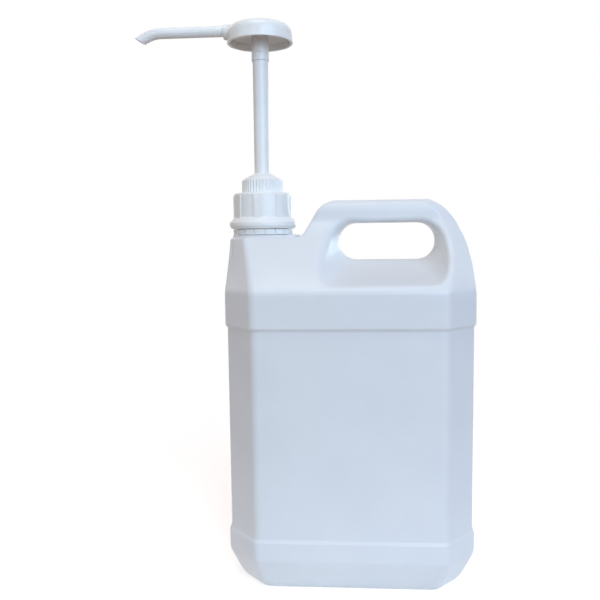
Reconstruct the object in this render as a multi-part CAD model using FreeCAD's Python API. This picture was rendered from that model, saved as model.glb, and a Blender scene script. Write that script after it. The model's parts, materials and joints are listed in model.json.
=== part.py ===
import FreeCAD, Part
import math
import os

# Pump oil bottle: a 5 litre blow-moulded can with its own handle, and a long-stroke dosing pump
# screwed on its neck. Millimetres, Z up. The origin is the centre of the base, on the table.
# The handle points to +X and the spout to -X. The front of the can faces -Y.

os.makedirs("parts", exist_ok=True)
V = FreeCAD.Vector

# Can: overall sizes over the two bands, and the wall of the moulding
CAN_WIDTH = 192.0
CAN_DEPTH = 134.0
CORNER_X = 24.0
CORNER_Y = 26.0
CORNER_ROUND = 9.0
WALL = 1.5

# Can: base, bands and the label panel sunk between them
BASE_RISE = 28.0
BASE_INSET = 13.0
BASE_BEND = 1.25
BASE_STEPS = 5
BASE_STEP_POWER = 1.5
FOOT_ROUND = 3.0
FOOT_WIDTH = 12.0
PUSH_UP = 3.0
PUSH_UP_SLOPE = 4.0
PUSH_UP_CORNER = 22.0
BAND_TOP = 232.0
LOWER_BAND_TOP = 44.0
UPPER_BAND = 29.5
PANEL_SINK = 1.6
LEDGE = 2.4
BAND_STRAIGHT = 10.0
BAND_TOP_ROUND = 7.0
SHOULDER_STEPS = 4
INSIDE_STEPS = 2

# Can: neck platform and handle arch
PLATFORM_RISE = 40.0
PLATFORM_DEPTH = 56.0
SIDE_LEAN = 1.5
HANDLE_RISE = 28.3
HANDLE_DEPTH = 34.0
HANDLE_ROUND = 9.0
HANDLE_TURN = 75.0
HANDLE_CORNER = 10.0
HANDLE_CORNER_Y = 7.0
HANDLE_CORNER_ROUND = 4.0
ARCH_WIDTH = 38.0
ARCH_HEIGHT = 63.5
ARCH_SHY = 1.3
RISE_GAP = 33.0
RISE_ANGLE = 60.0
RISE_FOOT_ROUND = 5.0
RISE_TOP_ROUND = 20.0
RIM_ROUND = 3.0

# Can: finger hole under the handle, and how its pocket flares and rounds off at the front and back
FRONT_POST = 29.0
BACK_POST = 27.0
HANDLE_BAR = 18.1
HOLE_HEIGHT = 29.3
HOLE_ROUND_SHARE = 0.49
FLARE_LEFT = 24.0
FLARE_RIGHT = 10.0
FLARE_DOWN = 18.0
FLARE_UP = 4.0
FLARE_POWER = 1.3
FLARE_REACH = 1.2
FLARE_STEPS = 5
LIP_ROUND = 4.0
POCKET_ROUND_SHARE = 0.068
POCKET_ROUND_SPREAD = 3.0
RIM_BACKING = 6.0

# Neck
NECK_INSET = 26.0
NECK_RADIUS = 20.4
NECK_BORE = 17.6
NECK_HEIGHT = 27.5
BEAD_RADIUS = 22.0
BEAD_HEIGHT = 2.2
PLINTH_RADIUS = 24.6
PLINTH_REACH = 29.0
PLINTH_HEIGHT = 1.6
PLINTH_CORNER = 6.0

# Tamper ring left on the neck
RING_RADIUS = 24.1
RING_HEIGHT = 4.6
RING_BLOCKS = 18
RING_SLIT = 1.0
RING_SLIT_DEPTH = 0.8

# Screw cap
CAP_RADIUS = 23.2
CAP_BORE = 21.7
CAP_TOP_THICKNESS = 3.0
CAP_EDGE_ROUND = 1.8
CAP_LANDS = 8
CAP_LAND_HEIGHT = 0.7
CAP_LAND_ANGLE = 15.0
CAP_LAND_TURN = -94.0
CAP_LAND_SINK = 1.0
FLANGE_RADIUS = 27.2
FLANGE_BORE = 22.5
FLANGE_HEIGHT = 9.3
FLANGE_DRAFT = 1.4
FLANGE_EDGE_LOW = 2.3
FLANGE_EDGE_HIGH = 4.9
FLANGE_ROUND = 1.0

# Pump cylinder and what closes it at the top
BARREL_BORE = 10.5
BARREL_WALL = 2.0
BARREL_NECK_RADIUS = 13.0
BARREL_NECK_HEIGHT = 11.7
BARREL_FLANGE_RADIUS = 20.6
BARREL_FLANGE = 2.6
BARREL_DEPTH = 122.0
BARREL_TAPER = 10.0
BARREL_TAPER_TOP = 2.0
VENT_RADIUS = 1.0
VENT_DEPTH = 10.0
GASKET_THICKNESS = 2.0
COLLAR_RADIUS = 16.5
COLLAR_RIBS = 40
COLLAR_RIB_DEPTH = 0.6
COLLAR_LIP = 2.0
COLLAR_LIP_BORE = 11.8
COLLAR_SLOPE = 3.4
COLLAR_SLOPE_HEIGHT = 2.6
GUIDE_FLANGE = 2.0
GUIDE_SKIRT = 12.4
GUIDE_NOSE_RADIUS = 11.5
GUIDE_NOSE_HEIGHT = 5.1
GUIDE_TIP_WALL = 1.0
GUIDE_SHOW = 0.6
GUIDE_CONE = 1.4
GUIDE_CONE_ROUND = 2.0
SEAL_HEIGHT = 4.0
SEAL_WALL = 2.0
SEAL_LIP = 1.0
SEAL_GROOVE = 0.8

# Inlet valve and dip tube at the foot of the cylinder
INLET_BALL_RADIUS = 4.0
INLET_PASSAGE = 2.5
INLET_POCKET = 5.2
INLET_SEAT_DEPTH = 8.0
INLET_LAND = 4.0
CAGE_HEIGHT = 6.0
CAGE_RING_WALL = 3.0
CAGE_ARM = 1.8
DIP_RADIUS = 5.0
DIP_WALL = 1.3
DIP_SOCKET_DEPTH = 12.0
DIP_SOCKET_WALL = 2.5
DIP_FLOOR_GAP = 8.0
DIP_CUT_ANGLE = 40.0

# Plunger: stem, piston, spring and outlet valve
STROKE = 88.0
STEM_RADIUS = 6.2
STEM_BORE = 3.6
STOP_GAP = 0.9
SPIGOT_RADIUS = 5.0
PISTON_HEIGHT = 9.6
PISTON_LIP = 1.8
PISTON_WAIST = 1.9
PISTON_BEVEL = 0.6
RETAINER_FLANGE = 2.0
RETAINER_HEIGHT = 8.4
RETAINER_WALL = 1.6
RETAINER_BORE = 3.6
SPRING_WIRE = 1.0
SPRING_RADIUS = 8.2
SPRING_TURNS = 8
SPRING_ARCS = 2
SPRING_END_PITCH = 1.5
OUTLET_BALL_RADIUS = 3.2
OUTLET_PASSAGE = 2.0
OUTLET_POCKET = 4.2
OUTLET_NECK = 5.0
OUTLET_FUNNEL = 2.0
OUTLET_DROP = 3.7
BALL_LIFT = 2.5
RETAINER_BAR = 1.2
OUTLET_RING_WALL = 1.1

# Head and spout
BOSS_RADIUS = 6.9
BOSS_DROP = 13.7
STEM_SOCKET = 11.3
BOSS_SLOT_WIDTH = 3.6
BOSS_SLOT_HEIGHT = 0.9
BOSS_SLOT_UP = 5.6
HEAD_RADIUS = 26.2
HEAD_HEIGHT = 17.0
HEAD_WALL = 1.8
HEAD_SHOULDER = 13.6
HEAD_ROUND = 8.0
HEAD_DRAFT = 1.2
SPOUT_UP = 10.4
SPOUT_RADIUS = 4.2
SPOUT_BORE = 2.8
SPOUT_SOCKET_DEPTH = 12.0
SPOUT_SOCKET_END = 29.0
SPOUT_SOCKET_WALL = 0.9
SPOUT_FLARE = 1.3
SPOUT_FLARE_LENGTH = 6.0
SPOUT_STRAIGHT = 79.8
SPOUT_BEND_RADIUS = 28.0
SPOUT_BEND = 27.0
SPOUT_TIP_LENGTH = 5.8
SPOUT_TIP_CUT = 58.0

# Small rounding on the edges that show
EDGE = 0.4

# Clearances: loose fits, running fits, push fits, flat seats, and how near counts as touching
LOOSE = 0.3
RUNNING = 0.06
PUSH = 0.05
SEAT = 0.1
NEAR = 0.02

# Places and heights that follow from the sizes above
NECK_X = NECK_INSET - CAN_WIDTH / 2
RISE_X = NECK_X + RISE_GAP
HOLE_LEFT = RISE_X + FRONT_POST
HOLE_RIGHT = CAN_WIDTH / 2 - BACK_POST
POCKET_ROUND = POCKET_ROUND_SHARE * CAN_DEPTH
UPPER_BAND_BOTTOM = BAND_TOP - UPPER_BAND
PLATFORM_Z = BAND_TOP + PLATFORM_RISE
HANDLE_TOP = PLATFORM_Z + HANDLE_RISE
HOLE_TOP = HANDLE_TOP - HANDLE_BAR
HOLE_BOTTOM = HOLE_TOP - HOLE_HEIGHT
HOLE_ROUND = HOLE_ROUND_SHARE * HOLE_HEIGHT
NECK_BASE = PLATFORM_Z + PLINTH_HEIGHT
NECK_TOP = PLATFORM_Z + NECK_HEIGHT
FLANGE_BOTTOM = NECK_BASE + LOOSE + RING_HEIGHT + LOOSE
BARREL_SEAT = NECK_TOP + SEAT + GASKET_THICKNESS
BARREL_SHELF = BARREL_SEAT + BARREL_FLANGE
BARREL_TOP = BARREL_SHELF + BARREL_NECK_HEIGHT
CAP_TOP = BARREL_SHELF + SEAT + CAP_TOP_THICKNESS
COLLAR_BOTTOM = CAP_TOP + SEAT
COLLAR_TOP = BARREL_TOP + GUIDE_FLANGE + COLLAR_LIP
GUIDE_TOP = BARREL_TOP + GUIDE_FLANGE + GUIDE_NOSE_HEIGHT
GUIDE_FOOT = BARREL_TOP - GUIDE_SKIRT
BARREL_FLOOR = BARREL_SEAT - BARREL_DEPTH
INLET_SEAT = BARREL_FLOOR - INLET_SEAT_DEPTH
DIP_TOP = INLET_SEAT - INLET_LAND
BARREL_FOOT = DIP_TOP - DIP_SOCKET_DEPTH
PISTON_TOP = GUIDE_FOOT - LOOSE - SEAT
STEM_SHOULDER = PISTON_TOP + SEAT
PISTON_FOOT = PISTON_TOP - PISTON_HEIGHT
RETAINER_TOP = PISTON_FOOT - SEAT
RETAINER_FOOT = RETAINER_TOP - RETAINER_HEIGHT
SPIGOT_FOOT = RETAINER_FOOT + RETAINER_WALL / 2
SPRING_FOOT = BARREL_FLOOR + CAGE_HEIGHT
SPRING_HEAD = RETAINER_TOP - RETAINER_FLANGE - LOOSE
BOSS_FOOT = GUIDE_TOP + STROKE + STOP_GAP
STEM_TOP = BOSS_FOOT + STEM_SOCKET
OUTLET_SEAT = BOSS_FOOT - OUTLET_DROP
HEAD_RIM = BOSS_FOOT + BOSS_DROP
HEAD_TOP = HEAD_RIM + HEAD_HEIGHT
SPOUT_Z = HEAD_RIM + SPOUT_UP


def rounded_outline(corners, place):
    """Closed wire through corners (u, v, radius); place turns (u, v) into a point."""
    count = len(corners)
    ends = []
    for i in range(count):
        near = (corners[i - 1], corners[i], corners[(i + 1) % count])
        before, corner, after = [V(p[0], p[1], 0) for p in near]
        radius = corners[i][2]
        back = (before - corner).normalize()
        ahead = (after - corner).normalize()
        half = back.getAngle(ahead) / 2
        reach = radius / math.tan(half)
        middle = corner + (back + ahead).normalize() * (radius / math.sin(half) - radius)
        ends.append([place(p.x, p.y) for p in (corner + back * reach, middle, corner + ahead * reach)])
    edges = []
    for i in range(count):
        start, middle, end = ends[i]
        if corners[i][2] > 0:
            edges.append(Part.Arc(start, middle, end).toShape())
        edges.append(Part.LineSegment(end, ends[(i + 1) % count][0]).toShape())
    return Part.Wire(edges)


def turned(corners):
    """Solid of revolution about Z from profile corners (radius, z, rounding)."""
    face = Part.Face(rounded_outline(corners, lambda r, z: V(r, 0, z)))
    return face.revolve(V(0, 0, 0), V(0, 0, 1), 360)


def disc(radius, low, high):
    """Upright cylinder on the Z axis."""
    return Part.makeCylinder(radius, high - low, V(0, 0, low))


def around(shape, count, first=0.0):
    """Copies of a shape at even angles round the Z axis."""
    copies = []
    for k in range(count):
        copy = shape.copy()
        copy.rotate(V(0, 0, 0), V(0, 0, 1), first + 360.0 * k / count)
        copies.append(copy)
    return copies


def rounded_steps(points, radius, steps):
    """Points along a line path whose inner corners are rounded by arcs."""
    path = [points[0]]
    for i in range(1, len(points) - 1):
        before, corner, after = [V(p[0], p[1], 0) for p in points[i - 1:i + 2]]
        back = (before - corner).normalize()
        ahead = (after - corner).normalize()
        half = back.getAngle(ahead) / 2
        centre = corner + (back + ahead).normalize() * (radius / math.sin(half))
        start = corner + back * (radius / math.tan(half)) - centre
        end = corner + ahead * (radius / math.tan(half)) - centre
        turn = start.getAngle(end)
        for k in range(steps + 1):
            share = k / steps
            spoke = start * math.sin((1 - share) * turn) + end * math.sin(share * turn)
            point = centre + spoke * (1 / math.sin(turn))
            path.append((point.x, point.y))
    path.append(points[-1])
    return path


def bevel_after_inset(cut, other, inset):
    """Length of a corner bevel's leg once the outline is drawn in by inset."""
    return cut - inset * (1 - (math.hypot(cut, other) - cut) / other)


def section(z, left, right, half_y, cut_x, cut_y, inset, radius):
    """Bevelled rectangular section of the can at height z, drawn in by inset."""
    leg_x = bevel_after_inset(cut_x, cut_y, inset)
    leg_y = bevel_after_inset(cut_y, cut_x, inset)
    left += inset
    right -= inset
    half_y -= inset
    side_y = half_y - leg_y
    points = [(left + leg_x, -half_y), (right - leg_x, -half_y), (right, -side_y), (right, side_y)]
    points += [(right - leg_x, half_y), (left + leg_x, half_y), (left, side_y), (left, -side_y)]
    return rounded_outline([(x, y, radius) for x, y in points], lambda x, y: V(x, y, z))


def can_section(z, inset):
    """Section of the can below the shoulder, drawn in by inset."""
    half_x = CAN_WIDTH / 2
    return section(z, -half_x, half_x, CAN_DEPTH / 2, CORNER_X, CORNER_Y, inset, CORNER_ROUND)


def base_inset(z):
    """How far the base draws in at height z: a leaning bevel with a rounded foot."""
    bevel = BASE_INSET * max(0.0, 1 - z / BASE_RISE) ** BASE_BEND
    foot = FOOT_ROUND * max(0.0, 1 - z / (2 * FOOT_ROUND)) ** 2
    return bevel + foot


def push_up(wall):
    """Hollow under the base, grown by the wall."""
    wires = []
    for z, slope in ((-WALL, 0.0), (PUSH_UP + wall, PUSH_UP_SLOPE)):
        drawn_in = BASE_INSET + FOOT_ROUND + FOOT_WIDTH + slope - wall
        half_x = CAN_WIDTH / 2 - drawn_in
        half_y = CAN_DEPTH / 2 - drawn_in
        signs = ((-1, -1), (1, -1), (1, 1), (-1, 1))
        corners = [(x * half_x, y * half_y, PUSH_UP_CORNER) for x, y in signs]
        wires.append(rounded_outline(corners, lambda x, y: V(x, y, z)))
    return Part.makeLoft(wires, True, True)


def lower_can(wall):
    """Can from the base to just under the shoulder, drawn in by the wall."""
    heights = [BASE_RISE * (k / BASE_STEPS) ** BASE_STEP_POWER for k in range(BASE_STEPS + 1)]
    base = Part.makeLoft([can_section(z, base_inset(z) + wall) for z in heights], True, wall > 0)
    levels = [(BASE_RISE, 0.0), (LOWER_BAND_TOP - LEDGE, 0.0), (LOWER_BAND_TOP, PANEL_SINK)]
    levels += [(UPPER_BAND_BOTTOM, PANEL_SINK), (UPPER_BAND_BOTTOM + LEDGE, 0.0)]
    levels.append((BAND_TOP - BAND_STRAIGHT, 0.0))
    walls = Part.makeLoft([can_section(z, inset + wall) for z, inset in levels], True, True)
    depth = 2 * WALL
    below = Part.makeBox(2 * CAN_WIDTH, 2 * CAN_DEPTH, depth, V(-CAN_WIDTH, -CAN_DEPTH, wall - depth))
    return base.fuse(walls).cut([below, push_up(wall)])


def arch_edge(z):
    """Right-hand outline of the handle arch: a quarter of an ellipse."""
    rise = max(0.0, z - (HANDLE_TOP - ARCH_HEIGHT)) / ARCH_HEIGHT
    return CAN_WIDTH / 2 - ARCH_WIDTH * (1 - math.sqrt(1 - min(rise, 1.0) ** 2))


def shoulder_profile(steps):
    """Half depth of the shoulder against height, from the band up to the top of the handle."""
    start = BAND_TOP - BAND_STRAIGHT
    half = CAN_DEPTH / 2
    bar = HANDLE_DEPTH / 2
    slope = (half - PLATFORM_DEPTH / 2) / (PLATFORM_Z - BAND_TOP)
    bend = BAND_TOP + (half - bar) / slope
    turn = math.radians(HANDLE_TURN)
    top = HANDLE_TOP - HANDLE_ROUND * math.sin(turn) + NEAR * HANDLE_ROUND
    corners = [(start, half), (BAND_TOP, half), (bend, bar), (top, bar)]
    path = rounded_steps(corners, BAND_TOP_ROUND, steps)
    path.insert(1, ((start + path[1][0]) / 2, half))
    for k in range(1, steps + 1):
        angle = turn * k / steps
        path.append((top + HANDLE_ROUND * math.sin(angle), bar - HANDLE_ROUND * (1 - math.cos(angle))))
    return path


def shoulder_block(wall):
    """Shoulder and handle arch in one loft, smooth outside and faceted inside, without notch or hole."""
    half = CAN_DEPTH / 2
    bar = HANDLE_DEPTH / 2
    start = BAND_TOP - BAND_STRAIGHT
    wires = []
    for z, half_y in shoulder_profile(INSIDE_STEPS if wall > 0 else SHOULDER_STEPS):
        share = (half_y - bar) / (half - bar)
        cut_x = CORNER_X * share + HANDLE_CORNER * (1 - share)
        cut_y = CORNER_Y * share + HANDLE_CORNER_Y * half_y / bar * (1 - share)
        radius = CORNER_ROUND * share + HANDLE_CORNER_ROUND * (1 - share)
        left = -CAN_WIDTH / 2 + SIDE_LEAN * (z - start) / (HANDLE_TOP - start)
        right = arch_edge(min(z, HANDLE_TOP - ARCH_SHY))
        height = z - wall if z > start else z
        wires.append(section(height, left, right, half_y, cut_x, cut_y, wall, radius))
    return Part.makeLoft(wires, True, wall > 0)


def neck_notch(wall):
    """Space over the neck platform and the handle, with the rise between them."""
    lean = math.radians(RISE_ANGLE)
    floor = PLATFORM_Z - wall
    top = HANDLE_TOP - wall
    foot_x = RISE_X + wall / math.sin(lean) - wall / math.tan(lean)
    top_x = foot_x + (top - floor) / math.tan(lean)
    high = HANDLE_TOP + HANDLE_DEPTH
    corners = [(-CAN_WIDTH, high, 0), (-CAN_WIDTH, floor, 0), (foot_x, floor, RISE_FOOT_ROUND + wall)]
    corners += [(top_x, top, RISE_TOP_ROUND - wall), (CAN_WIDTH, top, 0), (CAN_WIDTH, high, 0)]
    face = Part.Face(rounded_outline(corners, lambda x, z: V(x, -CAN_DEPTH, z)))
    return face.extrude(V(0, 2 * CAN_DEPTH, 0))


def finger_hole(wall):
    """Hole under the handle that flares into the pockets; the wall thickens behind their rounded rims."""
    wires = []
    for k in range(-FLARE_STEPS, FLARE_STEPS + 1):
        y = FLARE_REACH * CAN_DEPTH / 2 * k / FLARE_STEPS
        flare = abs(2 * y / CAN_DEPTH) ** FLARE_POWER
        behind = wall * (1 + RIM_BACKING * flare)
        left = HOLE_LEFT - FLARE_LEFT * flare - behind
        right = HOLE_RIGHT + FLARE_RIGHT * flare + behind
        low = HOLE_BOTTOM - FLARE_DOWN * flare - wall
        high = HOLE_TOP + FLARE_UP * flare + behind
        radius = HOLE_ROUND + wall + FLARE_UP * flare
        sides = ((left, low), (right, low), (right, high), (left, high))
        wires.append(rounded_outline([(x, z, radius) for x, z in sides], lambda x, z: V(x, y, z)))
    return Part.makeLoft(wires, True, wall > 0)


def notch_edges(shape):
    """Edges along the platform's rim, the rise and the top of the handle."""
    lean = math.radians(RISE_ANGLE)
    picked = []
    for edge in shape.Edges:
        box = edge.BoundBox
        middle = edge.valueAt((edge.FirstParameter + edge.LastParameter) / 2)
        on_top = min(abs(middle.z - PLATFORM_Z), abs(middle.z - HANDLE_TOP)) < NEAR
        level = box.ZLength < NEAR and on_top
        reach = RISE_X + (HANDLE_TOP - PLATFORM_Z) / math.tan(lean) + RISE_TOP_ROUND
        on_rise = RISE_X - 2 * RISE_FOOT_ROUND < box.XMin and box.XMax < reach
        if level or (on_rise and box.ZMin > PLATFORM_Z - NEAR and box.YLength < HANDLE_DEPTH):
            picked.append(edge)
    return picked


def shared_edges(shape, first, second):
    """Edges of a shape that lie on the skins of two solids."""
    picked = []
    for edge in shape.Edges:
        middle = Part.Vertex(edge.valueAt((edge.FirstParameter + edge.LastParameter) / 2))
        if max(skin.distToShape(middle)[0] for skin in (first.Shells[0], second.Shells[0])) < NEAR:
            picked.append(edge)
    return picked


def lip_radius(point):
    """Rounding of the pocket's rim: tight on the bar and rear post, wide towards the front and down."""
    bar = HANDLE_DEPTH / 2
    down = POCKET_ROUND_SPREAD * (abs(point.y) - bar) / (CAN_DEPTH / 2 - bar)
    ahead = (HOLE_RIGHT - point.x) / (HOLE_RIGHT - HOLE_LEFT)
    share = max(0.0, min(1.0, down)) * max(0.0, min(1.0, ahead))
    return LIP_ROUND + (POCKET_ROUND - LIP_ROUND) * share


def soften_rim(shape, rim):
    """Round the edges of a rim with a radius that changes along it."""
    document = FreeCAD.newDocument("rim")
    sharp = document.addObject("Part::Feature", "sharp")
    sharp.Shape = shape
    rounds = []
    for number, edge in enumerate(shape.Edges, 1):
        if any(edge.isSame(other) for other in rim):
            ends = [edge.valueAt(at) for at in (edge.FirstParameter, edge.LastParameter)]
            rounds.append((number, lip_radius(ends[0]), lip_radius(ends[1])))
    soft = document.addObject("Part::Fillet", "soft")
    soft.Base = sharp
    soft.Edges = rounds
    document.recompute()
    return soft.Shape


def shoulder(wall):
    """Shoulder with the neck notch and the finger hole; the outside has its rims rounded."""
    block = shoulder_block(wall).cut(neck_notch(wall))
    hole = finger_hole(wall)
    if wall > 0:
        return block.cut(hole)
    block = block.makeFillet(RIM_ROUND, notch_edges(block))
    pierced = block.cut(hole)
    return soften_rim(pierced, shared_edges(pierced, block, hole))


def neck_outside():
    """Plinth, neck and locking bead, standing on the platform."""
    reach = PLINTH_RADIUS
    foot = PLATFORM_Z - WALL
    corners = [(0, -reach, 0), (PLINTH_REACH, -reach, PLINTH_CORNER), (PLINTH_REACH, reach, PLINTH_CORNER)]
    corners.append((0, reach, 0))
    step = Part.Face(rounded_outline(corners, lambda x, y: V(x, y, foot)))
    plinth = step.extrude(V(0, 0, NECK_BASE - foot)).fuse(disc(reach, foot, NECK_BASE))
    bead_low = FLANGE_BOTTOM + LOOSE
    bead_high = bead_low + BEAD_HEIGHT
    half = (BEAD_RADIUS - NECK_RADIUS) / 2
    tube = turned([(0, foot, 0), (NECK_RADIUS, foot, 0), (NECK_RADIUS, bead_low, 0),
                   (BEAD_RADIUS, bead_low, 0), (BEAD_RADIUS, bead_high - half, 0),
                   (NECK_RADIUS, bead_high + half, 0), (NECK_RADIUS, NECK_TOP, 0), (0, NECK_TOP, 0)])
    return plinth.fuse(tube)


def bottle():
    """Hollow can with its handle and neck."""
    outside = lower_can(0).fuse(shoulder(0))
    inside = lower_can(WALL).fuse(shoulder(WALL))
    neck = on_axis(neck_outside())
    bore = on_axis(disc(NECK_BORE, PLATFORM_Z - 3 * WALL, NECK_TOP))
    return outside.fuse(neck).cut(inside.fuse(bore))


def tamper_ring():
    """Loose ring round the foot of the neck, slit into blocks."""
    low = NECK_BASE + LOOSE
    high = low + RING_HEIGHT
    inner = NECK_RADIUS + LOOSE
    ring = turned([(inner, low, 0), (RING_RADIUS, low, EDGE), (RING_RADIUS, high, EDGE), (inner, high, 0)])
    slit = Part.makeBox(RING_RADIUS, RING_SLIT, 2 * RING_HEIGHT)
    slit.translate(V(RING_RADIUS - RING_SLIT_DEPTH, -RING_SLIT / 2, low - RING_HEIGHT / 2))
    return ring.cut(around(slit, RING_BLOCKS))


def screw_cap():
    """Cap with a bevelled flange and raised grip lands."""
    low = FLANGE_BOTTOM
    shoulder_z = low + FLANGE_HEIGHT
    outside = turned([(0, low, 0), (FLANGE_RADIUS - FLANGE_DRAFT, low, EDGE),
                      (FLANGE_RADIUS, low + FLANGE_EDGE_LOW, FLANGE_ROUND),
                      (FLANGE_RADIUS, low + FLANGE_EDGE_HIGH, FLANGE_ROUND), (CAP_RADIUS, shoulder_z, EDGE),
                      (CAP_RADIUS, CAP_TOP, CAP_EDGE_ROUND), (0, CAP_TOP, 0)])
    land_low = shoulder_z - CAP_LAND_SINK
    land_height = CAP_TOP - CAP_EDGE_ROUND - land_low
    land_radius = CAP_RADIUS + CAP_LAND_HEIGHT
    land = Part.makeCylinder(land_radius, land_height, V(0, 0, land_low), V(0, 0, 1), CAP_LAND_ANGLE)
    outside = outside.fuse(around(land, CAP_LANDS, CAP_LAND_TURN - CAP_LAND_ANGLE / 2))
    ceiling = CAP_TOP - CAP_TOP_THICKNESS
    throat = land_low - (FLANGE_BORE - CAP_BORE)
    hole = BARREL_NECK_RADIUS + LOOSE
    inside = turned([(0, low, 0), (FLANGE_BORE, low, 0), (FLANGE_BORE, throat, 0), (CAP_BORE, land_low, 0),
                     (CAP_BORE, ceiling, 0), (hole, ceiling, 0), (hole, CAP_TOP, 0), (0, CAP_TOP, 0)])
    return outside.cut(inside)


def neck_gasket():
    """Flat ring between the neck's rim and the flange of the cylinder."""
    inner = NECK_BORE + LOOSE
    low = NECK_TOP + SEAT
    high = BARREL_SEAT
    return turned([(inner, low, 0), (NECK_RADIUS, low, 0), (NECK_RADIUS, high, 0), (inner, high, 0)])


def pump_cylinder():
    """Barrel of the pump: flange, threaded neck, bore, inlet seat and dip tube socket."""
    outer = BARREL_BORE + BARREL_WALL
    socket = DIP_RADIUS + PUSH
    foot = socket + DIP_SOCKET_WALL
    cone = INLET_POCKET - INLET_PASSAGE
    barrel = turned([(BARREL_BORE, BARREL_TOP, 0), (BARREL_NECK_RADIUS, BARREL_TOP, 0),
                     (BARREL_NECK_RADIUS, BARREL_SHELF, 0), (BARREL_FLANGE_RADIUS, BARREL_SHELF, 0),
                     (BARREL_FLANGE_RADIUS, BARREL_SEAT, 0), (outer, BARREL_SEAT, 0),
                     (outer, BARREL_FLOOR - BARREL_TAPER_TOP, 0), (foot, BARREL_FLOOR - BARREL_TAPER, 0),
                     (foot, BARREL_FOOT, 0), (socket, BARREL_FOOT, 0), (socket, DIP_TOP, 0),
                     (INLET_PASSAGE, DIP_TOP, 0), (INLET_PASSAGE, INLET_SEAT, 0),
                     (INLET_POCKET, INLET_SEAT + cone, 0), (INLET_POCKET, BARREL_FLOOR, 0),
                     (BARREL_BORE, BARREL_FLOOR, 0)])
    vent = Part.makeCylinder(VENT_RADIUS, 2 * outer, V(0, 0, BARREL_SEAT - VENT_DEPTH), V(1, 0, 0))
    return barrel.cut(vent)


def ribbed_collar():
    """Nut that clamps the stem guide on the cylinder, with fine grip ribs."""
    points = []
    corners = 4 * COLLAR_RIBS
    for k in range(corners):
        radius = COLLAR_RADIUS if k % 4 < 2 else COLLAR_RADIUS - COLLAR_RIB_DEPTH
        angle = 2 * math.pi * k / corners
        points.append(V(radius * math.cos(angle), radius * math.sin(angle), COLLAR_BOTTOM))
    ribs = Part.Face(Part.makePolygon(points + points[:1])).extrude(V(0, 0, COLLAR_TOP - COLLAR_BOTTOM))
    bore = BARREL_NECK_RADIUS + PUSH
    lip = COLLAR_TOP - COLLAR_LIP
    slope = COLLAR_TOP - COLLAR_SLOPE_HEIGHT
    envelope = turned([(bore, COLLAR_BOTTOM, 0), (COLLAR_RADIUS, COLLAR_BOTTOM, 0), (COLLAR_RADIUS, slope, 0),
                       (COLLAR_RADIUS - COLLAR_SLOPE, COLLAR_TOP, 0), (COLLAR_LIP_BORE, COLLAR_TOP, 0),
                       (COLLAR_LIP_BORE, lip, 0), (bore, lip, 0)])
    return ribs.common(envelope)


def stem_guide():
    """Bush with a smooth cone that guides the stem and stops the piston at the top."""
    bore = STEM_RADIUS + RUNNING
    skirt = BARREL_BORE - PUSH
    seal = bore + SEAL_WALL
    seal_top = GUIDE_FOOT + SEAL_HEIGHT + PUSH
    flange = BARREL_NECK_RADIUS - PUSH
    shelf = BARREL_TOP + GUIDE_FLANGE
    tip = bore + GUIDE_TIP_WALL
    cone = COLLAR_TOP + GUIDE_SHOW
    return turned([(seal, GUIDE_FOOT, 0), (skirt, GUIDE_FOOT, 0), (skirt, BARREL_TOP, 0),
                   (flange, BARREL_TOP, 0), (flange, shelf, 0), (GUIDE_NOSE_RADIUS, shelf, 0),
                   (GUIDE_NOSE_RADIUS, cone, EDGE), (tip + GUIDE_CONE, cone + GUIDE_CONE, GUIDE_CONE_ROUND),
                   (tip, GUIDE_TOP, EDGE), (bore, GUIDE_TOP, 0), (bore, seal_top, 0), (seal, seal_top, 0)])


def stem_seal():
    """Lip seal that wipes the stem, pushed into the foot of the guide."""
    low = GUIDE_FOOT
    top = GUIDE_FOOT + SEAL_HEIGHT
    lip = STEM_RADIUS + RUNNING
    outer = lip + SEAL_WALL - PUSH
    throat = lip + SEAL_GROOVE
    groove_low = low + SEAL_LIP
    groove_top = top - SEAL_LIP
    return turned([(lip, low, 0), (outer, low, 0), (outer, top, 0), (lip, top, 0), (lip, groove_top, 0),
                   (throat, groove_top - SEAL_GROOVE, 0), (throat, groove_low + SEAL_GROOVE / 2, 0),
                   (lip, groove_low, 0)])


def seated_ball_height(ball, passage, seat):
    """Centre of a ball that hangs just clear of a 45 degree cone seat."""
    return seat - passage + (ball + LOOSE) * math.sqrt(2)


def inlet_ball():
    """Ball of the inlet valve on its seat."""
    height = seated_ball_height(INLET_BALL_RADIUS, INLET_PASSAGE, INLET_SEAT)
    return Part.makeSphere(INLET_BALL_RADIUS, V(0, 0, height))


def cross(length, bar, low, high):
    """Two crossed bars centred on the axis."""
    one = Part.makeBox(2 * length, bar, high - low, V(-length, -bar / 2, low))
    other = Part.makeBox(bar, 2 * length, high - low, V(-bar / 2, -length, low))
    return one.fuse(other)


def inlet_cage():
    """Ring on the floor of the barrel that carries the spring; its cross keeps the ball in."""
    outer = BARREL_BORE - PUSH
    inner = outer - CAGE_RING_WALL
    top = BARREL_FLOOR + CAGE_HEIGHT
    ring = turned([(inner, BARREL_FLOOR, 0), (outer, BARREL_FLOOR, 0), (outer, top, 0), (inner, top, 0)])
    ball_top = seated_ball_height(INLET_BALL_RADIUS, INLET_PASSAGE, INLET_SEAT) + INLET_BALL_RADIUS
    bar_low = ball_top + BALL_LIFT + LOOSE
    return ring.fuse(cross(inner + CAGE_RING_WALL / 2, CAGE_ARM, bar_low, bar_low + CAGE_ARM))


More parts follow.
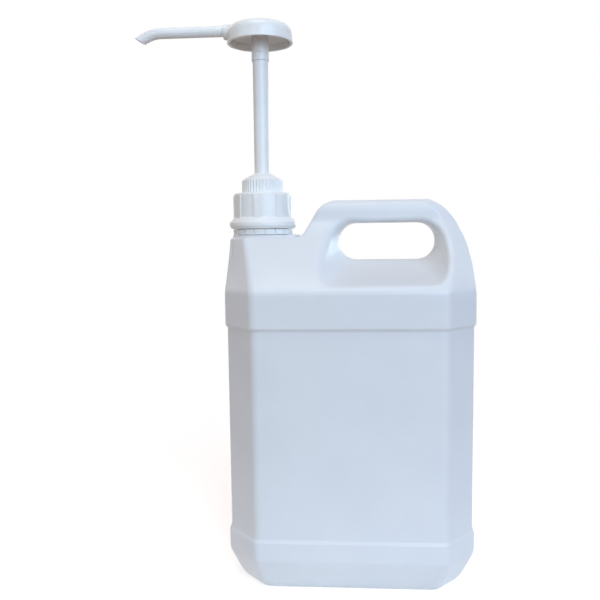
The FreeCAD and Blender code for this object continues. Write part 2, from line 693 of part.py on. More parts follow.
def dip_tube():
    """Straight suction tube, cut at a slant just above the floor of the can."""
    low = DIP_FLOOR_GAP
    bore = DIP_RADIUS - DIP_WALL
    tube = turned([(bore, low, 0), (DIP_RADIUS, low, 0), (DIP_RADIUS, DIP_TOP, 0), (bore, DIP_TOP, 0)])
    size = 6 * DIP_RADIUS
    wedge = Part.makeBox(2 * size, 2 * size, size, V(0, -size, -size))
    wedge.rotate(V(0, 0, 0), V(0, 1, 0), -DIP_CUT_ANGLE)
    wedge.translate(V(-DIP_RADIUS, 0, low))
    return tube.cut(wedge)


def biarc(start, start_way, end, end_way):
    """Two arcs that meet smoothly and join two points with given directions."""
    chord = end - start
    ways = start_way + end_way
    across = 2 * (1 - start_way.dot(end_way))
    along = chord.dot(ways)
    reach = (math.sqrt(along ** 2 + across * chord.dot(chord)) - along) / across
    joint = (start + end + (start_way - end_way) * reach) * 0.5
    arcs = []
    for point, way, other in ((start, start_way, joint), (end, end_way * -1, joint)):
        span = other - point
        normal = (span - way * span.dot(way)).normalize()
        radius = span.dot(span) / (2 * span.dot(normal))
        centre = point + normal * radius
        middle = centre + ((point + other) * 0.5 - centre).normalize() * radius
        arcs.append((point, middle, other))
    first, second = arcs
    return [Part.Arc(*first).toShape(), Part.Arc(second[2], second[1], second[0]).toShape()]


def spring_point(turn):
    """Point and direction on the spring's centre line after a number of turns."""
    wire = SPRING_WIRE / 2
    open_pitch = (SPRING_HEAD - SPRING_FOOT - SPRING_WIRE - 2 * SPRING_END_PITCH) / (SPRING_TURNS - 2)
    last = SPRING_TURNS - 1
    height = SPRING_END_PITCH * min(turn, 1) + open_pitch * min(max(turn - 1, 0), last - 1)
    height += SPRING_END_PITCH * max(turn - last, 0)
    closed = turn < 1 or turn > last
    pitch = SPRING_END_PITCH if closed else open_pitch
    if turn in (1, last):
        pitch = (SPRING_END_PITCH + open_pitch) / 2
    angle = 2 * math.pi * turn
    point = V(SPRING_RADIUS * math.cos(angle), SPRING_RADIUS * math.sin(angle), SPRING_FOOT + wire + height)
    way = V(-math.sin(angle), math.cos(angle), pitch / (2 * math.pi * SPRING_RADIUS)).normalize()
    return point, way


def return_spring():
    """Compression spring between the inlet cage and the piston, with one flat turn at each end."""
    edges = []
    for k in range(SPRING_ARCS * SPRING_TURNS):
        start, start_way = spring_point(k / SPRING_ARCS)
        end, end_way = spring_point((k + 1) / SPRING_ARCS)
        edges += biarc(start, start_way, end, end_way)
    path = Part.Wire(edges)
    point, way = spring_point(0)
    profile = Part.Wire(Part.Circle(point, way, SPRING_WIRE / 2).toShape())
    spring = path.makePipeShell([profile], True, False)
    print("spring gap", round(spring_gap(), 2), "volume ratio",
          round(spring.Volume / (math.pi * SPRING_WIRE ** 2 / 4 * path.Length), 4))
    return spring


def spring_gap():
    """Least clear gap between neighbouring turns."""
    count = 24
    points = [spring_point(k / count)[0] for k in range(count * SPRING_TURNS + 1)]
    near = [(points[k + count] - points[k]).Length for k in range(len(points) - count)]
    return min(near) - SPRING_WIRE


def piston_seal():
    """Double-lipped piston that turns freely on the stem's spigot."""
    inner = SPIGOT_RADIUS + RUNNING
    outer = BARREL_BORE - RUNNING
    waist = outer - PISTON_WAIST
    edge = outer - 2 * PISTON_BEVEL
    low = PISTON_FOOT
    top = PISTON_TOP
    lip_low = low + PISTON_BEVEL + PISTON_LIP
    lip_top = top - PISTON_BEVEL - PISTON_LIP
    return turned([(inner, low, 0), (edge, low, 0), (outer, low + PISTON_BEVEL, 0), (outer, lip_low, 0),
                   (waist, lip_low + PISTON_WAIST / 2, 0), (waist, lip_top - PISTON_WAIST / 2, 0),
                   (outer, lip_top, 0), (outer, top - PISTON_BEVEL, 0), (edge, top, 0), (inner, top, 0)])


def piston_retainer():
    """Flanged cup pushed on the stem's foot: it holds the piston and takes the spring."""
    inner = SPIGOT_RADIUS + PUSH
    tube = inner + RETAINER_WALL
    flange = SPRING_RADIUS + SPRING_WIRE
    under = RETAINER_TOP - RETAINER_FLANGE
    return turned([(inner, RETAINER_TOP, 0), (flange, RETAINER_TOP, 0), (flange, under, 0),
                   (tube, under, 0), (tube, RETAINER_FOOT, 0), (RETAINER_BORE, RETAINER_FOOT, 0),
                   (RETAINER_BORE, SPIGOT_FOOT, 0), (inner, SPIGOT_FOOT, 0)])


def pump_stem():
    """Hollow rod with a spigot for the piston and the outlet seat near its top."""
    cone = OUTLET_POCKET - OUTLET_PASSAGE
    neck_low = OUTLET_SEAT - OUTLET_NECK
    return turned([(STEM_BORE, SPIGOT_FOOT, 0), (SPIGOT_RADIUS, SPIGOT_FOOT, 0),
                   (SPIGOT_RADIUS, STEM_SHOULDER, 0), (STEM_RADIUS, STEM_SHOULDER, 0),
                   (STEM_RADIUS, STEM_TOP, 0), (OUTLET_POCKET, STEM_TOP, 0),
                   (OUTLET_POCKET, OUTLET_SEAT + cone, 0), (OUTLET_PASSAGE, OUTLET_SEAT, 0),
                   (OUTLET_PASSAGE, neck_low + OUTLET_FUNNEL, 0), (STEM_BORE, neck_low, 0)])


def outlet_ball():
    """Ball of the outlet valve on its seat in the stem."""
    height = seated_ball_height(OUTLET_BALL_RADIUS, OUTLET_PASSAGE, OUTLET_SEAT)
    return Part.makeSphere(OUTLET_BALL_RADIUS, V(0, 0, height))


def outlet_retainer():
    """Ring with a cross, pushed into the top of the stem over the outlet ball."""
    outer = OUTLET_POCKET - PUSH
    inner = outer - OUTLET_RING_WALL
    ball_top = seated_ball_height(OUTLET_BALL_RADIUS, OUTLET_PASSAGE, OUTLET_SEAT) + OUTLET_BALL_RADIUS
    low = ball_top + BALL_LIFT + LOOSE
    ring = turned([(inner, low, 0), (outer, low, 0), (outer, STEM_TOP, 0), (inner, STEM_TOP, 0)])
    return ring.fuse(cross(inner + OUTLET_RING_WALL / 2, RETAINER_BAR, low, low + RETAINER_BAR))


def along_spout(radius, start, end):
    """Cylinder along -X at the spout's height."""
    return Part.makeCylinder(radius, end - start, V(-start, 0, SPOUT_Z), V(-1, 0, 0))


def pump_head():
    """Domed head, hollow below, with the stem boss and the channel to the spout socket."""
    wall_top = HEAD_RIM + HEAD_SHOULDER
    ceiling = HEAD_TOP - HEAD_WALL
    inner = HEAD_RADIUS - HEAD_WALL
    outer = turned([(0, HEAD_RIM, 0), (HEAD_RADIUS, HEAD_RIM, 0),
                    (HEAD_RADIUS - HEAD_DRAFT, wall_top, HEAD_ROUND), (0, HEAD_TOP, 0)])
    under = turned([(0, HEAD_RIM, 0), (inner, HEAD_RIM, 0), (inner - HEAD_DRAFT, wall_top - HEAD_ROUND, 0),
                    (HEAD_RADIUS - HEAD_ROUND, wall_top - HEAD_WALL, 0), (0, ceiling, 0)])
    boss = disc(BOSS_RADIUS, BOSS_FOOT, ceiling)
    socket = SPOUT_RADIUS + PUSH
    tube = socket + SPOUT_SOCKET_WALL
    flare_start = SPOUT_SOCKET_END - SPOUT_FLARE_LENGTH
    channel = along_spout(tube, 0, SPOUT_SOCKET_END)
    flare_foot = V(-flare_start, 0, SPOUT_Z - SPOUT_FLARE)
    flare = Part.makeCone(tube + SPOUT_FLARE, tube, SPOUT_FLARE_LENGTH, flare_foot, V(-1, 0, 0))
    head = outer.cut(under).fuse([boss, channel, flare])
    socket_start = SPOUT_SOCKET_END - SPOUT_SOCKET_DEPTH
    stem_hole = disc(STEM_RADIUS + PUSH, BOSS_FOOT, STEM_TOP + PUSH)
    riser = disc(SPOUT_BORE, STEM_TOP, SPOUT_Z)
    elbow = Part.makeSphere(SPOUT_BORE, V(0, 0, SPOUT_Z))
    passage = along_spout(SPOUT_BORE, 0, SPOUT_SOCKET_END)
    seat = along_spout(socket, socket_start, SPOUT_SOCKET_END)
    corner = V(-BOSS_SLOT_WIDTH / 2, -BOSS_DROP, BOSS_FOOT + BOSS_SLOT_UP)
    slot = Part.makeBox(BOSS_SLOT_WIDTH, 2 * BOSS_DROP, BOSS_SLOT_HEIGHT, corner)
    return head.cut([stem_hole, riser, elbow, passage, seat, slot])


def spout_path(start):
    """Centre line of the spout: straight, then bent down, then a short straight tip."""
    bend = math.radians(SPOUT_BEND)
    half = bend / 2
    centre_z = SPOUT_Z - SPOUT_BEND_RADIUS
    points = [V(-start, 0, SPOUT_Z), V(-SPOUT_STRAIGHT, 0, SPOUT_Z)]
    for angle in (half, bend):
        points.append(V(-SPOUT_STRAIGHT - SPOUT_BEND_RADIUS * math.sin(angle), 0,
                        centre_z + SPOUT_BEND_RADIUS * math.cos(angle)))
    way = V(-math.cos(bend), 0, -math.sin(bend))
    points.append(points[3] + way * SPOUT_TIP_LENGTH)
    points.append(points[4] + way * 3 * SPOUT_RADIUS)
    return points


def spout():
    """Bent tube pushed into the head, with its tip cut so that the mouth faces down."""
    points = spout_path(SPOUT_SOCKET_END - SPOUT_SOCKET_DEPTH)
    tubes = []
    for radius in (SPOUT_RADIUS, SPOUT_BORE):
        run = Part.LineSegment(points[0], points[1]).toShape()
        bend = Part.Arc(points[1], points[2], points[3]).toShape()
        tip = Part.LineSegment(points[3], points[5]).toShape()
        ring = Part.Wire(Part.Circle(points[0], V(-1, 0, 0), radius).toShape())
        tubes.append(Part.Wire([run, bend, tip]).makePipeShell([ring], True, False))
    size = 8 * SPOUT_RADIUS
    block = Part.makeBox(size, 2 * size, 2 * size, V(0, -size, -size))
    block.rotate(V(0, 0, 0), V(0, 1, 0), 180 - SPOUT_TIP_CUT)
    block.translate(points[4])
    return tubes[0].cut(tubes[1]).cut(block)


def on_axis(shape):
    """Move a piece from the Z axis to the neck's axis."""
    moved = shape.copy()
    moved.translate(V(NECK_X, 0, 0))
    return moved


def save(name, shape):
    """Write one named piece."""
    solid = shape.Solids[0] if len(shape.Solids) == 1 else shape
    solid.exportStep("parts/" + name + ".step")


save("bottle", bottle())
for piece in (tamper_ring, screw_cap, neck_gasket, pump_cylinder, ribbed_collar, stem_guide, stem_seal,
              inlet_cage, inlet_ball, dip_tube, return_spring, piston_seal, piston_retainer, pump_stem,
              outlet_ball, outlet_retainer, pump_head, spout):
    save(piece.__name__, on_axis(piece()))
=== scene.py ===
import json
import math

import bmesh
import bpy
from mathutils import Matrix, Vector
from mathutils.geometry import intersect_point_line


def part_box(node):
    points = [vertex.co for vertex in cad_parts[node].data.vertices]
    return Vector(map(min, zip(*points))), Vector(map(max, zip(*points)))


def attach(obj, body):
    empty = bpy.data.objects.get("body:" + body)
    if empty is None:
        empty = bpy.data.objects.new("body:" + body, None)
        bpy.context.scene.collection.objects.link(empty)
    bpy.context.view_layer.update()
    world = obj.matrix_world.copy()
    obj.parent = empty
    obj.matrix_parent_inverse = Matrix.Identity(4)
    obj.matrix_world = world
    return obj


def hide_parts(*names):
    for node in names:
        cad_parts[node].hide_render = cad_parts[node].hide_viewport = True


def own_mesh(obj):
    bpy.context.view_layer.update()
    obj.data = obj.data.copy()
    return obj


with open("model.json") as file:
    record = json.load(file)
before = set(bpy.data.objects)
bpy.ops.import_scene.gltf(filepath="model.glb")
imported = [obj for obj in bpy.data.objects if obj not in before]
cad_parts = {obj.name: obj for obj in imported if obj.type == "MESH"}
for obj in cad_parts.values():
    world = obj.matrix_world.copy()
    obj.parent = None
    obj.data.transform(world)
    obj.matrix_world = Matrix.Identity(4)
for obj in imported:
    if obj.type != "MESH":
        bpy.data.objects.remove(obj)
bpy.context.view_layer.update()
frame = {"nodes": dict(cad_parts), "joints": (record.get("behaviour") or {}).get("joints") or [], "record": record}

nodes = frame["nodes"]
joints = {joint["name"]: joint for joint in frame["joints"]}

# Camera of the photograph: place in metres, turn, tilt and roll in radians, and focal length in pixels
IMAGE_SIZE = 600
CAMERA_PLACE = (0.00098, -0.57047, 0.27502)
CAMERA_YAW = -0.0727
CAMERA_PITCH = 0.096
CAMERA_ROLL = -0.0126
CAMERA_CLIP = 0.01
FOCAL_PIXELS = 697.81
SENSOR_MM = 36.0

# Colours, linear
CAN_WHITE = (0.81, 0.82, 0.84)
CAN_SHADE = (0.785, 0.80, 0.825)
PUMP_WHITE = (0.90, 0.90, 0.89)
PUMP_SHADE = (0.865, 0.87, 0.865)
NATURAL = (0.78, 0.79, 0.77)
NATURAL_SHADE = (0.70, 0.72, 0.70)
SEAL_GREY = (0.62, 0.64, 0.64)
SEAL_SHADE = (0.52, 0.54, 0.54)
STEEL = (0.62, 0.62, 0.62)
STEEL_SHADE = (0.48, 0.48, 0.50)
SCUFF = (0.55, 0.53, 0.50)
FLOOR_PALE = (0.86, 0.85, 0.83)
ROOM_FLOOR = (0.22, 0.13, 0.07)
AMBIENT = (1.0, 0.74, 0.76)
AMBIENT_STRENGTH = 0.31

# Roughness at the smoothest and at the roughest places
CAN_ROUGH = (0.29, 0.39)
PUMP_ROUGH = (0.20, 0.26)
RING_ROUGH = (0.30, 0.42)
BARREL_ROUGH = (0.29, 0.40)
SEAL_ROUGH = (0.40, 0.55)
STEEL_ROUGH = (0.28, 0.36)
TUBE_ROUGH = (0.30, 0.42)
FLOOR_ROUGH = 0.9

# Mirror level of the plastics, and light that spreads under the skin: its share and its depth in metres
CAN_MIRROR = 0.45
MOULDED_MIRROR = 0.5
CAN_SPREAD = (0.12, 0.004)
MOULDED_SPREAD = (0.1, 0.002)
TUBE_SPREAD = (0.3, 0.003)
WHITE_SPREAD = (1.0, 0.95, 0.9)

# Noises: scale per metre, detail and roughness
CAN_CLOUD = (22.0, 4.0)
CAN_GLOSS = (60.0, 5.0, 0.6)
CAN_SCUFFS = (260.0, 6.0, 0.7)
CAN_SLACK = (14.0, 1.5, 0.4)
CAN_GRAIN = (1500.0, 2.0)
MOULDED_CLOUD = (70.0, 4.0)
MOULDED_GLOSS = (140.0, 2.0)
MOULDED_GRAIN = (900.0, 2.0)
STEEL_MARKS = (1200.0, 3.0)
STEEL_GLOSS = (500.0, 3.0)
STEEL_GRAIN = (2400.0, 2.0)
TUBE_CLOUD = (90.0, 3.0)
TUBE_GLOSS = (200.0, 3.0)
TUBE_GRAIN = (700.0, 2.0)

# Spans of a noise that are drawn out, and what they are drawn out to
CLOUD_SPAN = (0.35, 0.7)
MARK_SPAN = (0.35, 0.65)
GLOSS_SPAN = (0.3, 0.7)
SCUFF_SPAN = (0.52, 0.68)
SCUFF_SHARE = (0.0, 0.55)
RISING = (0.0, 1.0)
FALLING = (1.0, 0.0)

# Relief heights, rounded edges, height of the scuffed foot and half widths of the mould seam, in metres
SLACK_HEIGHT = 0.0022
SEAM_HEIGHT = 0.00025
CAN_GRAIN_HEIGHT = 0.00004
MOULDED_GRAIN_HEIGHT = 0.000006
STEEL_GRAIN_HEIGHT = 0.00002
TUBE_GRAIN_HEIGHT = 0.00004
CAN_EDGE = 0.0009
PUMP_EDGE = 0.0004
SMALL_EDGE = 0.0003
SEAL_EDGE = 0.0002
SCUFF_HEIGHT = (0.0, 0.012)
SEAM_SPAN = (0.0001, 0.0005)
EDGE_SAMPLES = 6

# Colour sockets of Blender's mix node
MIX_FIRST, MIX_SECOND, MIX_RESULT = 6, 7, 2

# Floor: half its width, where its pale middle turns brown for bounced light, and where its shadow fades,
# all in metres from the object, and how much it glows to look white
FLOOR_HALF = 8.0
PALE_SPAN = (0.22, 0.42)
SHADOW_SPAN = (0.2, 0.7)
FLOOR_GLOW = (0.58, 1.0)

# Lamps: place, aim and size in metres, power in watts, and colour
AIM_CAN = (0, 0, 0.2)
AIM_PUMP = (-0.05, 0, 0.3)
LAMPS = {
    "window": ((0.9, -1.5, 0.9), AIM_CAN, (1.4, 1.4), 23.5, (0.455, 0.73, 1.0)),
    "ceiling": ((-0.1, -0.5, 1.7), AIM_CAN, (0.8, 0.5), 5.0, (0.97, 1.0, 0.9)),
    "left": ((-1.6, -0.9, 0.7), AIM_CAN, (1.2, 1.2), 3.0, (0.62, 1.0, 1.0)),
    "behind": ((0.9, 1.4, 0.4), AIM_CAN, (1.2, 0.6), 6.0, (0.7, 0.95, 1.0)),
    "right_strip": ((0.3, -1.4, 0.65), AIM_PUMP, (0.12, 0.9), 1.4, (1.0, 1.0, 1.0)),
    "left_strip": ((-0.45, -1.35, 0.65), AIM_PUMP, (0.12, 0.9), 1.4, (1.0, 1.0, 1.0)),
}

# Upper band of the can: where its wall is joined, where its top starts to round, and how far the wall
# may stand off in between, in metres
BAND_SEAM = 0.222
BAND_ROUND_START = 0.2291
BAND_STAND_OFF = 0.001
NEAR = 0.000005

# Neck thread, in metres, with the share of its length that each end takes to run out
NECK_X = joints["cap_turn"]["pos_m"][0]
NECK_RADIUS = 0.0204
THREAD_HEIGHT = 0.0009
THREAD_WIDTH = 0.0024
THREAD_LEAD = 0.0045
THREAD_LOW = 0.2855
THREAD_SINK = 0.0001
THREAD_TURNS = 2
THREAD_STEPS = 72
THREAD_RUN_OUT = 0.125
THREAD_LEAST = 0.12

# Return spring, in metres
SPRING_WIRE = 0.0005
SPRING_RADIUS = 0.0082
SPRING_TURNS = 8
SPRING_STEPS = 36
SPRING_END_PITCH = 0.0015
WIRE_SIDES = 10


class Shader:
    """Short way to make and join the nodes of one material."""

    def __init__(self, name):
        self.material = bpy.data.materials.new(name)
        self.material.use_nodes = True
        self.tree = self.material.node_tree
        self.bsdf = self.tree.nodes["Principled BSDF"]
        self.place = self.node("ShaderNodeTexCoord").outputs["Object"]

    def node(self, kind, **settings):
        made = self.tree.nodes.new(kind)
        for key, value in settings.items():
            setattr(made, key, value)
        return made

    def link(self, source, target):
        self.tree.links.new(source, target)

    def fix(self, key, value):
        """Set one even value of the main shader."""
        self.bsdf.inputs[key].default_value = value

    def under_skin(self, share, depth):
        self.fix("Subsurface Weight", share)
        self.fix("Subsurface Scale", depth)

    def noise(self, scale, detail, rough=0.5):
        made = self.node("ShaderNodeTexNoise")
        made.inputs["Scale"].default_value = scale
        made.inputs["Detail"].default_value = detail
        made.inputs["Roughness"].default_value = rough
        self.link(self.place, made.inputs["Vector"])
        return made.outputs["Fac"]

    def spread(self, source, span, result):
        """Draw a span of the source out to the result's two ends, with soft turns."""
        made = self.node("ShaderNodeMapRange", interpolation_type="SMOOTHSTEP")
        for key, value in zip(("From Min", "From Max", "To Min", "To Max"), (*span, *result)):
            made.inputs[key].default_value = value
        self.link(source, made.inputs["Value"])
        return made.outputs["Result"]

    def maths(self, operation, first, second=None):
        made = self.node("ShaderNodeMath", operation=operation)
        for socket, value in zip(made.inputs, (first, second)):
            if isinstance(value, (int, float)):
                socket.default_value = value
            elif value is not None:
                self.link(value, socket)
        return made.outputs[0]

    def mix(self, share, first, second):
        made = self.node("ShaderNodeMix", data_type="RGBA")
        self.link(share, made.inputs["Factor"])
        for socket, value in ((made.inputs[MIX_FIRST], first), (made.inputs[MIX_SECOND], second)):
            if isinstance(value, tuple):
                socket.default_value = (*value, 1.0)
            else:
                self.link(value, socket)
        return made.outputs[MIX_RESULT]

    def rounded(self, radius):
        """Normal that rounds the edges off."""
        made = self.node("ShaderNodeBevel", samples=EDGE_SAMPLES)
        made.inputs["Radius"].default_value = radius
        return made.outputs["Normal"]

    def bump(self, height, distance, normal=None):
        made = self.node("ShaderNodeBump")
        made.inputs["Distance"].default_value = distance
        self.link(height, made.inputs["Height"])
        if normal is not None:
            self.link(normal, made.inputs["Normal"])
        return made.outputs["Normal"]

    def axis(self, letter):
        made = self.node("ShaderNodeSeparateXYZ")
        self.link(self.place, made.inputs[0])
        return made.outputs[letter]

    def paint(self, colour, roughness=None, normal=None):
        for key, source in (("Base Color", colour), ("Roughness", roughness), ("Normal", normal)):
            if source is not None:
                self.link(source, self.bsdf.inputs[key])
        return self.material


def can_material():
    """Satin blow-moulded polyethylene: faint cloudiness, slack panels, mould seam and scuffs at the foot."""
    s = Shader("can_polyethylene")
    s.fix("Specular IOR Level", CAN_MIRROR)
    s.fix("Subsurface Radius", WHITE_SPREAD)
    s.under_skin(*CAN_SPREAD)
    colour = s.mix(s.spread(s.noise(*CAN_CLOUD), CLOUD_SPAN, RISING), CAN_WHITE, CAN_SHADE)
    foot = s.spread(s.axis("Z"), SCUFF_HEIGHT, FALLING)
    rubbed = s.maths("MULTIPLY", foot, s.spread(s.noise(*CAN_SCUFFS), SCUFF_SPAN, SCUFF_SHARE))
    colour = s.mix(rubbed, colour, SCUFF)
    roughness = s.spread(s.noise(*CAN_GLOSS), GLOSS_SPAN, CAN_ROUGH)
    slack = s.bump(s.noise(*CAN_SLACK), SLACK_HEIGHT, s.rounded(CAN_EDGE))
    seam = s.spread(s.maths("ABSOLUTE", s.axis("Y")), SEAM_SPAN, FALLING)
    seamed = s.bump(seam, SEAM_HEIGHT, slack)
    grain = s.bump(s.noise(*CAN_GRAIN), CAN_GRAIN_HEIGHT, seamed)
    return s.paint(colour, roughness, grain)


def moulded_material(name, white, shade, rough, edge):
    """Injection-moulded plastic: slight flow clouding, gloss that varies, fine mould texture."""
    s = Shader(name)
    s.fix("Specular IOR Level", MOULDED_MIRROR)
    s.fix("Subsurface Radius", WHITE_SPREAD)
    s.under_skin(*MOULDED_SPREAD)
    colour = s.mix(s.spread(s.noise(*MOULDED_CLOUD), CLOUD_SPAN, RISING), white, shade)
    roughness = s.spread(s.noise(*MOULDED_GLOSS), GLOSS_SPAN, rough)
    grain = s.bump(s.noise(*MOULDED_GRAIN), MOULDED_GRAIN_HEIGHT, s.rounded(edge))
    return s.paint(colour, roughness, grain)


def steel_material():
    """Bright drawn steel with faint marks."""
    s = Shader("bright_steel")
    s.fix("Metallic", 1.0)
    colour = s.mix(s.spread(s.noise(*STEEL_MARKS), MARK_SPAN, RISING), STEEL, STEEL_SHADE)
    roughness = s.spread(s.noise(*STEEL_GLOSS), GLOSS_SPAN, STEEL_ROUGH)
    return s.paint(colour, roughness, s.bump(s.noise(*STEEL_GRAIN), STEEL_GRAIN_HEIGHT))


def tube_material():
    """Milky extruded tube."""
    s = Shader("milky_tube")
    s.under_skin(*TUBE_SPREAD)
    colour = s.mix(s.spread(s.noise(*TUBE_CLOUD), CLOUD_SPAN, RISING), NATURAL, NATURAL_SHADE)
    roughness = s.spread(s.noise(*TUBE_GLOSS), GLOSS_SPAN, TUBE_ROUGH)
    return s.paint(colour, roughness, s.bump(s.noise(*TUBE_GRAIN), TUBE_GRAIN_HEIGHT))


def dress_nodes():
    """Give every solid its material by the record's slots."""
    made = {
        "can_plastic": can_material(),
        "pump_plastic": moulded_material("pump_polypropylene", PUMP_WHITE, PUMP_SHADE, PUMP_ROUGH, PUMP_EDGE),
        "ring_plastic": moulded_material("ring_polyethylene", PUMP_WHITE, PUMP_SHADE, RING_ROUGH, SMALL_EDGE),
        "barrel_plastic": moulded_material(
            "barrel_polypropylene", NATURAL, NATURAL_SHADE, BARREL_ROUGH, SMALL_EDGE),
        "seal_plastic": moulded_material("seal_polyethylene", SEAL_GREY, SEAL_SHADE, SEAL_ROUGH, SEAL_EDGE),
        "tube_plastic": tube_material(),
        "steel": steel_material(),
    }
    for part in frame["record"]["subparts"]:
        node = nodes[part["node"]]
        node.data.materials.clear()
        node.data.materials.append(made[part["material_slot"]])
    return made


def link_object(name, data):
    """New object of a mesh, lamp or camera, linked to the scene."""
    made = bpy.data.objects.new(name, data)
    bpy.context.scene.collection.objects.link(made)
    return made


def add_piece(name, mesh, body, material):
    """Link a new mesh as a piece that rides on a body."""
    piece = link_object(name, mesh)
    mesh.materials.append(material)
    for polygon in mesh.polygons:
        polygon.use_smooth = True
    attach(piece, body)
    return piece


def band_outline(mesh):
    """Outer edges along the band's seam: two points and the wall's two normals for each, in plan."""
    edges = []
    for face in mesh.polygons:
        if face.center.z > BAND_SEAM:
            continue
        points, normals = [], []
        for k in face.loop_indices:
            point = mesh.vertices[mesh.loops[k].vertex_index].co
            if abs(point.z - BAND_SEAM) < NEAR:
                points.append(point.xy)
                normals.append(mesh.corner_normals[k].vector.xy)
        if len(points) == 2 and points[0].dot(normals[0]) > 0:
            edges.append((points, normals))
    return edges


def nearest_on(outline, point):
    """Distance, place and normal of the outline's nearest point, in plan."""
    best = None
    for (start, end), (start_normal, end_normal) in outline:
        share = min(max(intersect_point_line(point, start, end)[1], 0.0), 1.0)
        place = start.lerp(end, share)
        away = (point - place).length
        if best is None or away < best[0]:
            best = (away, place, start_normal.lerp(end_normal, share).normalized())
    return best


def can_skin(material):
    """The can as seen: the solid's own mesh, its upper band drawn straight up to the rounded edge."""
    mesh = nodes["bottle"].data.copy()
    mesh.materials.clear()
    outline = band_outline(mesh)
    normals = [corner.vector.copy() for corner in mesh.corner_normals]
    found = {}
    for face in mesh.polygons:
        if face.center.z < BAND_SEAM:
            continue
        for k in face.loop_indices:
            index = mesh.loops[k].vertex_index
            point = mesh.vertices[index].co
            if not BAND_SEAM - NEAR < point.z < BAND_ROUND_START:
                continue
            if index not in found:
                found[index] = nearest_on(outline, point.xy)
            away, _, normal = found[index]
            if away < BAND_STAND_OFF:
                normals[k] = normal.to_3d()
    for index, (away, place, _) in found.items():
        if away < BAND_STAND_OFF:
            mesh.vertices[index].co.xy = place
    piece = add_piece("can_skin", mesh, "can", material)
    mesh.normals_split_custom_set(normals)
    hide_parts("bottle")


def swept_mesh(name, frames, profile):
    """Tube of a closed profile swept through frames (centre, out, up), closed at both ends."""
    work = bmesh.new()
    rings = []
    for centre, out, up in frames:
        rings.append([work.verts.new(centre + out * a + up * b) for a, b in profile])
    count = len(profile)
    for first, second in zip(rings, rings[1:]):
        for k in range(count):
            work.faces.new((first[k], first[(k + 1) % count], second[(k + 1) % count], second[k]))
    work.faces.new(rings[0])
    work.faces.new(list(reversed(rings[-1])))
    bmesh.ops.recalc_face_normals(work, faces=work.faces)
    mesh = bpy.data.meshes.new(name)
    work.to_mesh(mesh)
    work.free()
    return mesh


def outward(turn):
    """Level direction after a number of turns."""
    return Vector((math.cos(math.tau * turn), math.sin(math.tau * turn), 0))


def neck_thread(material):
    """Screw thread on the neck, under the cap, running out at both ends."""
    frames = []
    total = THREAD_STEPS * THREAD_TURNS
    for k in range(total + 1):
        turn = k / THREAD_STEPS
        out = outward(turn)
        fade = min(1.0, min(k, total - k) / total / THREAD_RUN_OUT)
        centre = Vector((NECK_X, 0, THREAD_LOW + THREAD_LEAD * turn)) + out * (NECK_RADIUS - THREAD_SINK)
        frames.append((centre, out * max(fade, THREAD_LEAST), Vector((0, 0, 1))))
    half = THREAD_WIDTH / 2
    profile = [(0, -half), (THREAD_HEIGHT, -half / 3), (THREAD_HEIGHT, half / 3), (0, half)]
    add_piece("neck_thread", swept_mesh("neck_thread", frames, profile), "can", material)


def spring_piece(material):
    """Return spring as a wound wire that rides on the pump unit."""
    low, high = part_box("return_spring")
    rise = high.z - low.z - 2 * SPRING_WIRE
    open_pitch = (rise - 2 * SPRING_END_PITCH) / (SPRING_TURNS - 2)
    frames = []
    for k in range(SPRING_STEPS * SPRING_TURNS + 1):
        turn = k / SPRING_STEPS
        climb = SPRING_END_PITCH * (min(turn, 1) + max(turn - SPRING_TURNS + 1, 0))
        climb += open_pitch * min(max(turn - 1, 0), SPRING_TURNS - 2)
        out = outward(turn)
        centre = Vector((NECK_X, 0, low.z + SPRING_WIRE + climb)) + out * SPRING_RADIUS
        frames.append((centre, out * SPRING_WIRE, Vector((0, 0, SPRING_WIRE))))
    profile = [tuple(outward(k / WIRE_SIDES).xy) for k in range(WIRE_SIDES)]
    mesh = swept_mesh("return_spring_wire", frames, profile)
    piece = add_piece("return_spring_wire", mesh, "pump_unit", material)
    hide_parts("return_spring")
    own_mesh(piece)


def look_rays(tree):
    """1 for rays from the camera, mirrors and glass, which see the plain white background."""
    path = tree.nodes.new("ShaderNodeLightPath")
    total = path.outputs["Is Camera Ray"]
    for name in ("Is Glossy Ray", "Is Transmission Ray"):
        add = tree.nodes.new("ShaderNodeMath")
        add.operation = "MAXIMUM"
        tree.links.new(total, add.inputs[0])
        tree.links.new(path.outputs[name], add.inputs[1])
        total = add.outputs[0]
    return total


def floor_material():
    """Pale floor, wood-brown for bounced light away from the object; it looks white and keeps the shadow."""
    s = Shader("pale_floor")
    s.fix("Roughness", FLOOR_ROUGH)
    s.fix("Specular IOR Level", 0.0)
    seen = look_rays(s.tree)
    distance = s.node("ShaderNodeVectorMath", operation="LENGTH")
    s.link(s.place, distance.inputs[0])
    away = distance.outputs["Value"]
    brown = s.maths("MULTIPLY", s.maths("SUBTRACT", 1.0, seen), s.spread(away, PALE_SPAN, RISING))
    s.paint(s.mix(brown, FLOOR_PALE, ROOM_FLOOR))
    fade = s.node("ShaderNodeMixShader")
    s.link(s.maths("MULTIPLY", seen, s.spread(away, SHADOW_SPAN, RISING)), fade.inputs[0])
    s.link(s.bsdf.outputs[0], fade.inputs[1])
    glow = s.node("ShaderNodeEmission")
    s.link(s.maths("MULTIPLY", seen, s.spread(away, SHADOW_SPAN, FLOOR_GLOW)), glow.inputs["Strength"])
    total = s.node("ShaderNodeAddShader")
    s.link(fade.outputs[0], total.inputs[0])
    s.link(glow.outputs[0], total.inputs[1])
    s.link(total.outputs[0], s.tree.nodes["Material Output"].inputs["Surface"])
    return s.material


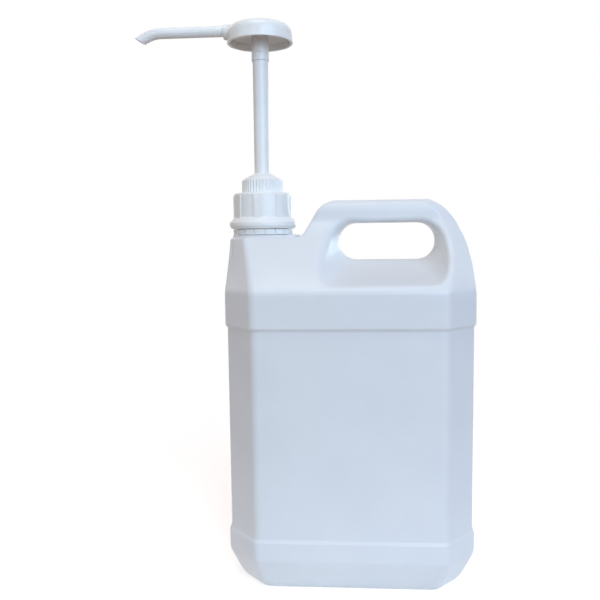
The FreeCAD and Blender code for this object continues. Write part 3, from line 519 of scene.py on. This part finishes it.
def add_floor():
    """Wide plain floor under the object."""
    mesh = bpy.data.meshes.new("floor")
    corners = [(x * FLOOR_HALF, y * FLOOR_HALF, 0) for x, y in ((-1, -1), (1, -1), (1, 1), (-1, 1))]
    mesh.from_pydata(corners, [], [(0, 1, 2, 3)])
    floor = link_object("floor", mesh)
    mesh.materials.append(floor_material())


def add_world():
    """Soft warm light from all round, white to the camera."""
    world = bpy.data.worlds.new("studio")
    bpy.context.scene.world = world
    world.use_nodes = True
    tree = world.node_tree
    ambient = tree.nodes["Background"]
    ambient.inputs["Color"].default_value = (*AMBIENT, 1)
    ambient.inputs["Strength"].default_value = AMBIENT_STRENGTH
    white = tree.nodes.new("ShaderNodeBackground")
    white.inputs["Color"].default_value = (1, 1, 1, 1)
    mix = tree.nodes.new("ShaderNodeMixShader")
    tree.links.new(look_rays(tree), mix.inputs[0])
    tree.links.new(ambient.outputs[0], mix.inputs[1])
    tree.links.new(white.outputs[0], mix.inputs[2])
    tree.links.new(mix.outputs[0], tree.nodes["World Output"].inputs["Surface"])


def add_lamps():
    """Cool window at the front right, fills above, left and behind, two narrow strips for highlights."""
    for name, (place, aim, size, power, colour) in LAMPS.items():
        data = bpy.data.lights.new(name, "AREA")
        data.shape = "RECTANGLE"
        data.size, data.size_y = size
        data.energy = power
        data.color = colour
        lamp = link_object(name, data)
        lamp.location = place
        lamp.visible_camera = False
        lamp.rotation_mode = "QUATERNION"
        lamp.rotation_quaternion = (Vector(aim) - Vector(place)).to_track_quat("-Z", "Y")


def photo_camera():
    """Camera at the place and angle of the photograph."""
    cos_p, sin_p = math.cos(CAMERA_PITCH), math.sin(CAMERA_PITCH)
    forward = Vector((math.sin(CAMERA_YAW) * cos_p, math.cos(CAMERA_YAW) * cos_p, -sin_p))
    level = Vector((math.cos(CAMERA_YAW), -math.sin(CAMERA_YAW), 0))
    rise = level.cross(forward)
    right = level * math.cos(CAMERA_ROLL) + rise * math.sin(CAMERA_ROLL)
    up = rise * math.cos(CAMERA_ROLL) - level * math.sin(CAMERA_ROLL)
    data = bpy.data.cameras.new("photo_camera")
    data.sensor_width = SENSOR_MM
    data.lens = FOCAL_PIXELS / IMAGE_SIZE * SENSOR_MM
    data.clip_start = CAMERA_CLIP
    camera = link_object("photo_camera", data)
    turn = Matrix((right, up, -forward)).transposed()
    camera.matrix_world = Matrix.Translation(CAMERA_PLACE) @ turn.to_4x4()
    bpy.context.scene.camera = camera


materials = dress_nodes()
can_skin(materials["can_plastic"])
neck_thread(materials["can_plastic"])
spring_piece(materials["steel"])
add_floor()
add_world()
add_lamps()
photo_camera()
bpy.context.scene.view_settings.view_transform = "Standard"
